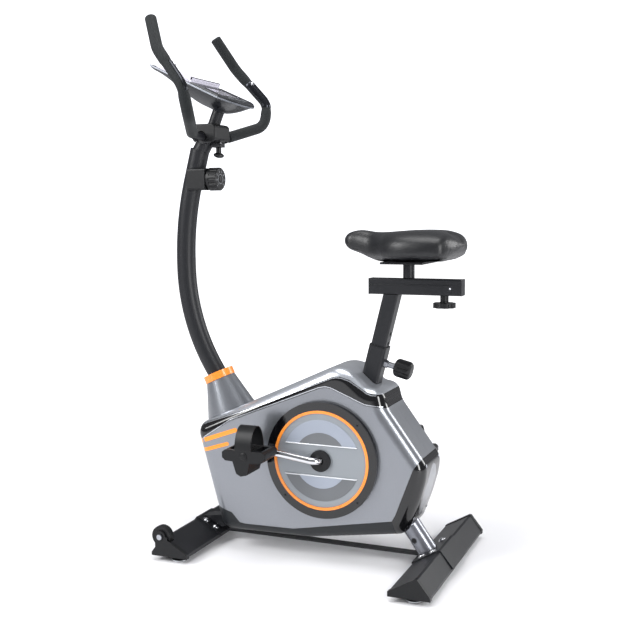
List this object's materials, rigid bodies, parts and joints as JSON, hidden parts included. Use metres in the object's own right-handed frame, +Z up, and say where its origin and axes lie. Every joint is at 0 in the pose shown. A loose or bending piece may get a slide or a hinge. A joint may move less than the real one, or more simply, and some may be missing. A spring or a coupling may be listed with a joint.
{
  "type": "exercise bike",
  "caption": "Upright magnetic exercise bike with a curved handlebar post, console, pedals, enclosed flywheel drive, adjustable saddle and two floor stabilisers with transport wheels.",
  "frame": {"origin": "middle of the bounding box on the floor, under the casing", "axes": "+Z up, -X towards the handlebar, +X towards the saddle, -Y the rider's left"},
  "size_m": [0.807, 0.512, 1.3611],
  "materials": {
    "silver_plastic": "metallic silver, glossy, moulded",
    "light_silver_plastic": "light metallic silver, glossy",
    "black_gloss_plastic": "high gloss black",
    "black_plastic": "satin black, moulded",
    "grey_plastic": "satin grey, moulded",
    "orange_plastic": "orange, semi-gloss",
    "charcoal_steel": "charcoal powder coat",
    "silver_steel": "silver lacquer",
    "zinc_steel": "zinc plated",
    "chrome_steel": "chrome plated",
    "iron": "machined cast iron",
    "rubber": "black rubber",
    "foam": "closed cell foam",
    "vinyl": "black vinyl cover",
    "clear": "clear acrylic",
    "magnet": "sintered ferrite"
  },
  "bodies": {
    "frame": {"left_shell": "silver_plastic", "right_shell": "silver_plastic", "post_cover": "silver_plastic", "rear_insert": "silver_plastic", "top_cover": "light_silver_plastic", "side_band": "black_gloss_plastic", "rear_trim": "black_gloss_plastic", "cover_rings": "black_gloss_plastic", "lower_trim": "black_plastic", "stabiliser_end_caps": "black_plastic", "tension_housing": "black_plastic", "clamp_cover": "black_plastic", "console_housing": "black_plastic", "seat_bushing": "black_plastic", "disc_covers": "grey_plastic", "console_face": "grey_plastic", "orange_trim": "orange_plastic", "rear_stabiliser": "charcoal_steel", "front_stabiliser": "charcoal_steel", "welded_frame": "charcoal_steel", "seat_sleeve": "charcoal_steel", "brackets_and_rail": "charcoal_steel", "handlebar_post": "charcoal_steel", "handlebar_clamp": "charcoal_steel", "rear_leg": "silver_steel", "drive_brackets": "zinc_steel", "bolts_and_nuts": "zinc_steel", "crank_bearings": "zinc_steel", "drive_belt": "rubber", "tension_cable": "rubber", "display_lens": "clear", "book_rest": "clear"},
    "crank": {"crank": "chrome_steel", "pulley_and_hub_caps": "black_plastic"},
    "left_pedal": {"left_pedal": "black_plastic"},
    "right_pedal": {"right_pedal": "black_plastic"},
    "flywheel": {"flywheel": "iron"},
    "idler_arm": {"idler_arm": "zinc_steel"},
    "idler_wheel": {"idler_wheel": "black_plastic"},
    "magnet_carrier": {"magnet_carrier": "magnet"},
    "tension_knob": {"tension_knob": "black_plastic"},
    "handlebar": {"handlebar": "charcoal_steel", "foam_grips": "foam", "pulse_sensors": "chrome_steel"},
    "clamp_knob": {"clamp_knob": "black_plastic"},
    "console_key_1": {"console_key_1": "grey_plastic"},
    "console_key_2": {"console_key_2": "grey_plastic"},
    "console_key_3": {"console_key_3": "grey_plastic"},
    "seat_post": {"seat_post": "charcoal_steel", "slider_tube": "charcoal_steel"},
    "pull_pin": {"pull_pin": "black_plastic"},
    "saddle": {"saddle_carriage": "charcoal_steel", "saddle_pad": "vinyl"},
    "slider_knob": {"slider_knob": "black_plastic"},
    "left_wheel": {"left_wheel": "black_plastic"},
    "right_wheel": {"right_wheel": "black_plastic"},
    "rear_left_foot": {"rear_left_foot": "black_plastic"},
    "rear_right_foot": {"rear_right_foot": "black_plastic"},
    "front_left_foot": {"front_left_foot": "black_plastic"},
    "front_right_foot": {"front_right_foot": "black_plastic"}
  },
  "joints": [
    {"name": "crank_spin", "type": "hinge", "parent": "frame", "child": "crank", "pos_m": [0.07047, 0, 0.267], "axis": [0, 1, 0], "continuous": true},
    {"name": "left_pedal_spin", "type": "hinge", "parent": "crank", "child": "left_pedal", "pos_m": [-0.08816, -0.167, 0.28788], "axis": [0, 1, 0], "continuous": true},
    {"name": "right_pedal_spin", "type": "hinge", "parent": "crank", "child": "right_pedal", "pos_m": [0.2291, 0.167, 0.24612], "axis": [0, 1, 0], "continuous": true},
    {"name": "flywheel_spin", "type": "hinge", "parent": "frame", "child": "flywheel", "pos_m": [-0.08753, 0, 0.215], "axis": [0, 1, 0], "continuous": true},
    {"name": "idler_arm_swing", "type": "hinge", "parent": "frame", "child": "idler_arm", "pos_m": [0.03218, 0.038, 0.16004], "axis": [0, -1, 0], "range_deg": [0, 6], "stiffness_Nm_per_rad": 1.5, "springref_deg": -8.59},
    {"name": "idler_spin", "type": "hinge", "parent": "idler_arm", "child": "idler_wheel", "pos_m": [-0.01382, 0.046, 0.16804], "axis": [0, 1, 0], "continuous": true},
    {"name": "magnet_swing", "type": "hinge", "parent": "frame", "child": "magnet_carrier", "pos_m": [-0.10089, 0, 0.31007], "axis": [0, -1, 0], "range_deg": [0, 2]},
    {"name": "tension_turn", "type": "hinge", "parent": "frame", "child": "tension_knob", "pos_m": [-0.26553, 0, 0.963], "axis": [1, 0, 0], "range_deg": [0, 270]},
    {"name": "handlebar_tilt", "type": "hinge", "parent": "frame", "child": "handlebar", "pos_m": [-0.27853, 0, 1.072], "axis": [0, 1, 0], "range_deg": [-15, 20]},
    {"name": "clamp_knob_turn", "type": "hinge", "parent": "frame", "child": "clamp_knob", "pos_m": [-0.24953, 0, 1.03], "axis": [0, 0, 1], "range_deg": [0, 360]},
    {"name": "seat_height", "type": "slide", "parent": "frame", "child": "seat_post", "axis": [0.247, 0, 0.969], "range_m": [-0.075, 0.075]},
    {"name": "pin_pull", "type": "slide", "parent": "frame", "child": "pull_pin", "axis": [0.969, 0, -0.247], "range_m": [0, 0.009], "stiffness_N_per_m": 900, "springref_m": -0.006},
    {"name": "saddle_slide", "type": "slide", "parent": "seat_post", "child": "saddle", "axis": [1, 0, 0], "range_m": [-0.045, 0.04]},
    {"name": "slider_knob_turn", "type": "hinge", "parent": "seat_post", "child": "slider_knob", "pos_m": [0.35447, 0, 0.65], "axis": [0, 0, 1], "range_deg": [0, 360]},
    {"name": "key_1_press", "type": "slide", "parent": "frame", "child": "console_key_1", "axis": [-0.4226, 0, -0.9063], "range_m": [0, 0.0012], "stiffness_N_per_m": 400, "springref_m": -0.0003},
    {"name": "key_2_press", "type": "slide", "parent": "frame", "child": "console_key_2", "axis": [-0.4226, 0, -0.9063], "range_m": [0, 0.0012], "stiffness_N_per_m": 400, "springref_m": -0.0003},
    {"name": "key_3_press", "type": "slide", "parent": "frame", "child": "console_key_3", "axis": [-0.4226, 0, -0.9063], "range_m": [0, 0.0012], "stiffness_N_per_m": 400, "springref_m": -0.0003},
    {"name": "left_wheel_spin", "type": "hinge", "parent": "frame", "child": "left_wheel", "pos_m": [-0.31953, -0.205, 0.064], "axis": [0, 1, 0], "continuous": true},
    {"name": "right_wheel_spin", "type": "hinge", "parent": "frame", "child": "right_wheel", "pos_m": [-0.31953, 0.205, 0.064], "axis": [0, 1, 0], "continuous": true},
    {"name": "rear_left_foot_screw", "type": "slide", "parent": "frame", "child": "rear_left_foot", "axis": [0, 0, 1], "range_m": [0, 0.004]},
    {"name": "rear_right_foot_screw", "type": "slide", "parent": "frame", "child": "rear_right_foot", "axis": [0, 0, 1], "range_m": [0, 0.004]},
    {"name": "front_left_foot_screw", "type": "slide", "parent": "frame", "child": "front_left_foot", "axis": [0, 0, 1], "range_m": [0, 0.002]},
    {"name": "front_right_foot_screw", "type": "slide", "parent": "frame", "child": "front_right_foot", "axis": [0, 0, 1], "range_m": [0, 0.002]}
  ],
  "couplings": [
    {"joint": "flywheel_spin", "follows": "crank_spin", "ratio": 5.4444},
    {"joint": "magnet_swing", "follows": "tension_turn", "ratio": 0.007}
  ]
}
